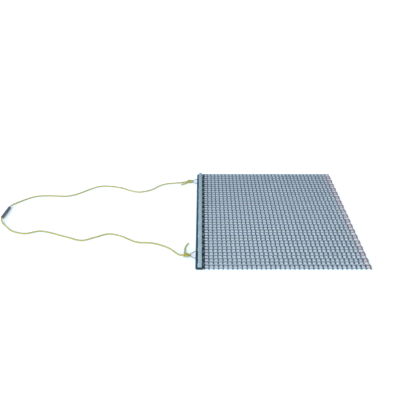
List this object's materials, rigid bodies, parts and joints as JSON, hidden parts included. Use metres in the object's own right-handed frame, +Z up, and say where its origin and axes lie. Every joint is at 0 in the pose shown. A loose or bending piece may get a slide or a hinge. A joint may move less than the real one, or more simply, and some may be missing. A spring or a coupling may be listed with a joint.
{
  "type": "drag mat",
  "caption": "Flexible square mat of hinged flat-wire steel mesh behind a leader bar, pulled by a rope with a hand grip tied to its tow loops.",
  "frame": {"origin": "on the ground under the middle of the box of mat, leader and tow loops", "axes": "+X from the leader to the trailing edge, +Y along the leader to the right-hand tow loop of the person pulling, +Z up"},
  "size_m": [2.1481, 0.922, 0.0247],
  "materials": {
    "mesh_strip": "galvanised, semi-matt",
    "leader_tube": "galvanised, satin",
    "leader_plate": "dark, semi-matt",
    "loop_wire": "zinc plated wire",
    "rope": "twisted polypropylene rope",
    "grip": "matt hand grip"
  },
  "bodies": {
    "root": {"leader_plate": "leader_plate", "leader_tube": "leader_tube", "tow_loop_left": "loop_wire", "tow_loop_right": "loop_wire", "loop_nut_1": "loop_wire", "loop_nut_2": "loop_wire", "loop_nut_3": "loop_wire", "loop_nut_4": "loop_wire", "rope_knot_left": "rope", "rope_knot_right": "rope", "tow_rope": "rope", "rope_tail_left": "rope", "rope_tail_right": "rope"},
    "row_01": {"mesh_strip_01": "mesh_strip"},
    "row_02": {"mesh_strip_02": "mesh_strip"},
    "row_03": {"mesh_strip_03": "mesh_strip"},
    "row_04": {"mesh_strip_04": "mesh_strip"},
    "row_05": {"mesh_strip_05": "mesh_strip"},
    "row_06": {"mesh_strip_06": "mesh_strip"},
    "row_07": {"mesh_strip_07": "mesh_strip"},
    "row_08": {"mesh_strip_08": "mesh_strip"},
    "row_09": {"mesh_strip_09": "mesh_strip"},
    "row_10": {"mesh_strip_10": "mesh_strip"},
    "row_11": {"mesh_strip_11": "mesh_strip"},
    "row_12": {"mesh_strip_12": "mesh_strip"},
    "row_13": {"mesh_strip_13": "mesh_strip"},
    "row_14": {"mesh_strip_14": "mesh_strip"},
    "row_15": {"mesh_strip_15": "mesh_strip"},
    "row_16": {"mesh_strip_16": "mesh_strip"},
    "row_17": {"mesh_strip_17": "mesh_strip"},
    "row_18": {"mesh_strip_18": "mesh_strip"},
    "row_19": {"mesh_strip_19": "mesh_strip"},
    "row_20": {"mesh_strip_20": "mesh_strip"},
    "row_21": {"mesh_strip_21": "mesh_strip"},
    "row_22": {"mesh_strip_22": "mesh_strip"},
    "row_23": {"mesh_strip_23": "mesh_strip"},
    "row_24": {"mesh_strip_24": "mesh_strip"},
    "row_25": {"mesh_strip_25": "mesh_strip"},
    "row_26": {"mesh_strip_26": "mesh_strip"},
    "row_27": {"mesh_strip_27": "mesh_strip"},
    "row_28": {"mesh_strip_28": "mesh_strip"},
    "row_29": {"mesh_strip_29": "mesh_strip"},
    "row_30": {"mesh_strip_30": "mesh_strip"},
    "row_31": {"mesh_strip_31": "mesh_strip"},
    "row_32": {"mesh_strip_32": "mesh_strip"},
    "row_33": {"mesh_strip_33": "mesh_strip"},
    "row_34": {"mesh_strip_34": "mesh_strip"},
    "row_35": {"mesh_strip_35": "mesh_strip"},
    "grip": {"rope_grip": "grip"}
  },
  "joints": [
    {"name": "row_01_hinge", "type": "hinge", "parent": "root", "child": "row_01", "pos_m": [-0.40491, 0, 0.00475], "axis": [0, -1, 0], "range_deg": [-90, 90]},
    {"name": "row_02_hinge", "type": "hinge", "parent": "row_01", "child": "row_02", "pos_m": [-0.37951, 0, 0.00475], "axis": [0, 1, 0], "range_deg": [-90, 90]},
    {"name": "row_03_hinge", "type": "hinge", "parent": "row_02", "child": "row_03", "pos_m": [-0.35411, 0, 0.00475], "axis": [0, -1, 0], "range_deg": [-90, 90]},
    {"name": "row_04_hinge", "type": "hinge", "parent": "row_03", "child": "row_04", "pos_m": [-0.32871, 0, 0.00475], "axis": [0, 1, 0], "range_deg": [-90, 90]},
    {"name": "row_05_hinge", "type": "hinge", "parent": "row_04", "child": "row_05", "pos_m": [-0.30331, 0, 0.00475], "axis": [0, -1, 0], "range_deg": [-90, 90]},
    {"name": "row_06_hinge", "type": "hinge", "parent": "row_05", "child": "row_06", "pos_m": [-0.27791, 0, 0.00475], "axis": [0, 1, 0], "range_deg": [-90, 90]},
    {"name": "row_07_hinge", "type": "hinge", "parent": "row_06", "child": "row_07", "pos_m": [-0.25251, 0, 0.00475], "axis": [0, -1, 0], "range_deg": [-90, 90]},
    {"name": "row_08_hinge", "type": "hinge", "parent": "row_07", "child": "row_08", "pos_m": [-0.22711, 0, 0.00475], "axis": [0, 1, 0], "range_deg": [-90, 90]},
    {"name": "row_09_hinge", "type": "hinge", "parent": "row_08", "child": "row_09", "pos_m": [-0.20171, 0, 0.00475], "axis": [0, -1, 0], "range_deg": [-90, 90]},
    {"name": "row_10_hinge", "type": "hinge", "parent": "row_09", "child": "row_10", "pos_m": [-0.17631, 0, 0.00475], "axis": [0, 1, 0], "range_deg": [-90, 90]},
    {"name": "row_11_hinge", "type": "hinge", "parent": "row_10", "child": "row_11", "pos_m": [-0.15091, 0, 0.00475], "axis": [0, -1, 0], "range_deg": [-90, 90]},
    {"name": "row_12_hinge", "type": "hinge", "parent": "row_11", "child": "row_12", "pos_m": [-0.12551, 0, 0.00475], "axis": [0, 1, 0], "range_deg": [-90, 90]},
    {"name": "row_13_hinge", "type": "hinge", "parent": "row_12", "child": "row_13", "pos_m": [-0.10011, 0, 0.00475], "axis": [0, -1, 0], "range_deg": [-90, 90]},
    {"name": "row_14_hinge", "type": "hinge", "parent": "row_13", "child": "row_14", "pos_m": [-0.07471, 0, 0.00475], "axis": [0, 1, 0], "range_deg": [-90, 90]},
    {"name": "row_15_hinge", "type": "hinge", "parent": "row_14", "child": "row_15", "pos_m": [-0.04931, 0, 0.00475], "axis": [0, -1, 0], "range_deg": [-90, 90]},
    {"name": "row_16_hinge", "type": "hinge", "parent": "row_15", "child": "row_16", "pos_m": [-0.02391, 0, 0.00475], "axis": [0, 1, 0], "range_deg": [-90, 90]},
    {"name": "row_17_hinge", "type": "hinge", "parent": "row_16", "child": "row_17", "pos_m": [0.00149, 0, 0.00475], "axis": [0, -1, 0], "range_deg": [-90, 90]},
    {"name": "row_18_hinge", "type": "hinge", "parent": "row_17", "child": "row_18", "pos_m": [0.02689, 0, 0.00475], "axis": [0, 1, 0], "range_deg": [-90, 90]},
    {"name": "row_19_hinge", "type": "hinge", "parent": "row_18", "child": "row_19", "pos_m": [0.05229, 0, 0.00475], "axis": [0, -1, 0], "range_deg": [-90, 90]},
    {"name": "row_20_hinge", "type": "hinge", "parent": "row_19", "child": "row_20", "pos_m": [0.07769, 0, 0.00475], "axis": [0, 1, 0], "range_deg": [-90, 90]},
    {"name": "row_21_hinge", "type": "hinge", "parent": "row_20", "child": "row_21", "pos_m": [0.10309, 0, 0.00475], "axis": [0, -1, 0], "range_deg": [-90, 90]},
    {"name": "row_22_hinge", "type": "hinge", "parent": "row_21", "child": "row_22", "pos_m": [0.12849, 0, 0.00475], "axis": [0, 1, 0], "range_deg": [-90, 90]},
    {"name": "row_23_hinge", "type": "hinge", "parent": "row_22", "child": "row_23", "pos_m": [0.15389, 0, 0.00475], "axis": [0, -1, 0], "range_deg": [-90, 90]},
    {"name": "row_24_hinge", "type": "hinge", "parent": "row_23", "child": "row_24", "pos_m": [0.17929, 0, 0.00475], "axis": [0, 1, 0], "range_deg": [-90, 90]},
    {"name": "row_25_hinge", "type": "hinge", "parent": "row_24", "child": "row_25", "pos_m": [0.20469, 0, 0.00475], "axis": [0, -1, 0], "range_deg": [-90, 90]},
    {"name": "row_26_hinge", "type": "hinge", "parent": "row_25", "child": "row_26", "pos_m": [0.23009, 0, 0.00475], "axis": [0, 1, 0], "range_deg": [-90, 90]},
    {"name": "row_27_hinge", "type": "hinge", "parent": "row_26", "child": "row_27", "pos_m": [0.25549, 0, 0.00475], "axis": [0, -1, 0], "range_deg": [-90, 90]},
    {"name": "row_28_hinge", "type": "hinge", "parent": "row_27", "child": "row_28", "pos_m": [0.28089, 0, 0.00475], "axis": [0, 1, 0], "range_deg": [-90, 90]},
    {"name": "row_29_hinge", "type": "hinge", "parent": "row_28", "child": "row_29", "pos_m": [0.30629, 0, 0.00475], "axis": [0, -1, 0], "range_deg": [-90, 90]},
    {"name": "row_30_hinge", "type": "hinge", "parent": "row_29", "child": "row_30", "pos_m": [0.33169, 0, 0.00475], "axis": [0, 1, 0], "range_deg": [-90, 90]},
    {"name": "row_31_hinge", "type": "hinge", "parent": "row_30", "child": "row_31", "pos_m": [0.35709, 0, 0.00475], "axis": [0, -1, 0], "range_deg": [-90, 90]},
    {"name": "row_32_hinge", "type": "hinge", "parent": "row_31", "child": "row_32", "pos_m": [0.38249, 0, 0.00475], "axis": [0, 1, 0], "range_deg": [-90, 90]},
    {"name": "row_33_hinge", "type": "hinge", "parent": "row_32", "child": "row_33", "pos_m": [0.40789, 0, 0.00475], "axis": [0, -1, 0], "range_deg": [-90, 90]},
    {"name": "row_34_hinge", "type": "hinge", "parent": "row_33", "child": "row_34", "pos_m": [0.43329, 0, 0.00475], "axis": [0, 1, 0], "range_deg": [-90, 90]},
    {"name": "row_35_hinge", "type": "hinge", "parent": "row_34", "child": "row_35", "pos_m": [0.45869, 0, 0.00475], "axis": [0, -1, 0], "range_deg": [-90, 90]},
    {"name": "grip_spin", "type": "hinge", "parent": "root", "child": "grip", "pos_m": [-1.646, 0.018, 0.0095], "axis": [0.0698, 0.9976, 0], "continuous": true}
  ]
}
